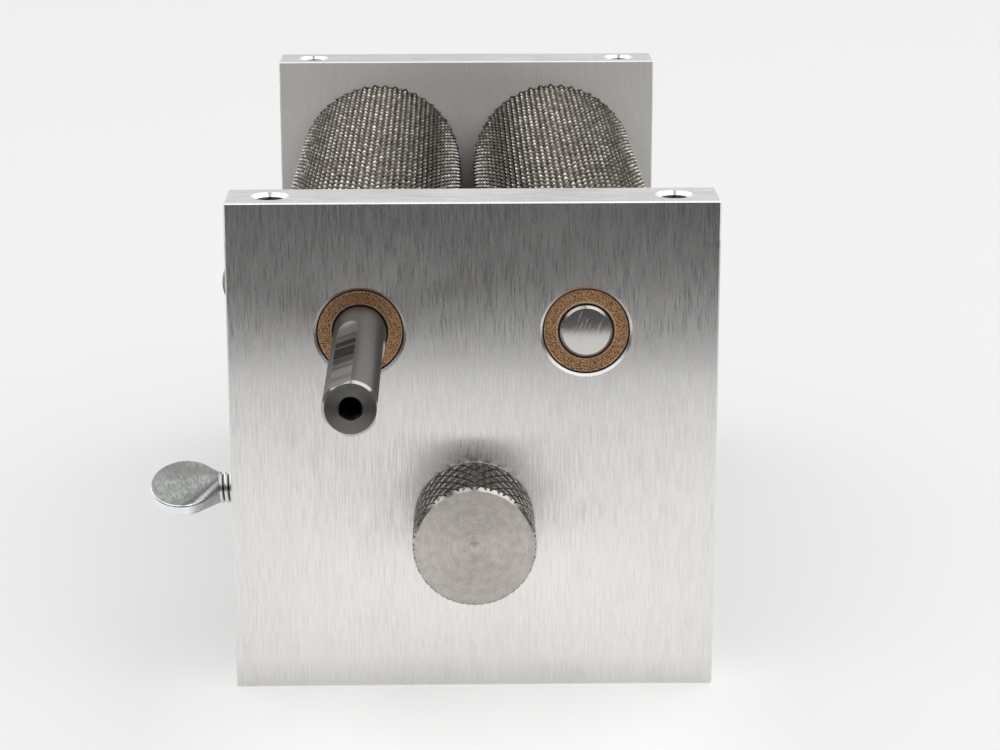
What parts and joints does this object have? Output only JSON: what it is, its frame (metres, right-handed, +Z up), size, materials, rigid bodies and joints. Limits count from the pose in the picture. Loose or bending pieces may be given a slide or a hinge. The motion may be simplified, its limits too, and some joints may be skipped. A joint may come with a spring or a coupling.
{
  "type": "hand grain mill",
  "caption": "Hand grain mill: knurled rollers between two flat plates, a fine roller on eccentric knobs locked by thumb screws, and a bare drive shaft for a crank or drill.",
  "frame": {"origin": "centre of the four base holes on the plates' bottom plane", "axes": "+X right seen from the front, +Y from the front plate to the rear plate along the rollers, +Z up"},
  "size_m": [0.1043, 0.2434, 0.0921],
  "materials": {
    "plate_aluminium": "satin",
    "tie_bar_aluminium": "satin",
    "roller_steel": "satin",
    "shaft_steel": "satin",
    "sintered_bronze": "matte",
    "knob_steel": "satin",
    "zinc_plated_steel": "satin",
    "screw_steel": "satin"
  },
  "bodies": {
    "frame": {"front_plate": "plate_aluminium", "rear_plate": "plate_aluminium", "left_tie_bar": "tie_bar_aluminium", "right_tie_bar": "tie_bar_aluminium", "tie_bar_screws": "screw_steel", "front_drive_bushing": "sintered_bronze", "rear_drive_bushing": "sintered_bronze", "front_idler_bushing": "sintered_bronze", "rear_idler_bushing": "sintered_bronze"},
    "drive_rotor": {"drive_roller": "roller_steel", "drive_shaft": "shaft_steel"},
    "idler_rotor": {"idler_roller": "roller_steel", "idler_shaft": "shaft_steel"},
    "lower_rotor": {"lower_roller": "roller_steel", "lower_roller_shaft": "shaft_steel"},
    "front_adjuster_set": {"front_adjuster": "knob_steel", "front_adjuster_bushing": "sintered_bronze"},
    "rear_adjuster_set": {"rear_adjuster": "knob_steel", "rear_adjuster_bushing": "sintered_bronze"},
    "front_clamp": {"front_thumb_screw": "zinc_plated_steel"},
    "rear_clamp": {"rear_thumb_screw": "zinc_plated_steel"}
  },
  "joints": [
    {"name": "drive_roller_spin", "type": "hinge", "parent": "frame", "child": "drive_rotor", "pos_m": [-0.02043, 0, 0.06817], "axis": [0, 1, 0], "continuous": true},
    {"name": "idler_roller_spin", "type": "hinge", "parent": "frame", "child": "idler_rotor", "pos_m": [0.02043, 0, 0.06817], "axis": [0, 1, 0], "continuous": true},
    {"name": "front_adjuster_turn", "type": "hinge", "parent": "frame", "child": "front_adjuster_set", "pos_m": [0, -0.08255, 0.03269], "axis": [0, 1, 0], "continuous": true},
    {"name": "rear_adjuster_turn", "type": "hinge", "parent": "frame", "child": "rear_adjuster_set", "pos_m": [0, 0.08255, 0.03269], "axis": [0, 1, 0], "continuous": true},
    {"name": "lower_roller_spin", "type": "hinge", "parent": "front_adjuster_set", "child": "lower_rotor", "pos_m": [0, 0, 0.03469], "axis": [0, 1, 0], "continuous": true},
    {"name": "front_thumb_screw_turn", "type": "hinge", "parent": "frame", "child": "front_clamp", "pos_m": [-0.04445, -0.08255, 0.03709], "axis": [-1, 0, 0], "range_deg": [0, 450]},
    {"name": "rear_thumb_screw_turn", "type": "hinge", "parent": "frame", "child": "rear_clamp", "pos_m": [-0.04445, 0.08255, 0.03709], "axis": [-1, 0, 0], "range_deg": [0, 450]}
  ],
  "couplings": [
    {"joint": "rear_adjuster_turn", "follows": "front_adjuster_turn", "ratio": 1}
  ]
}
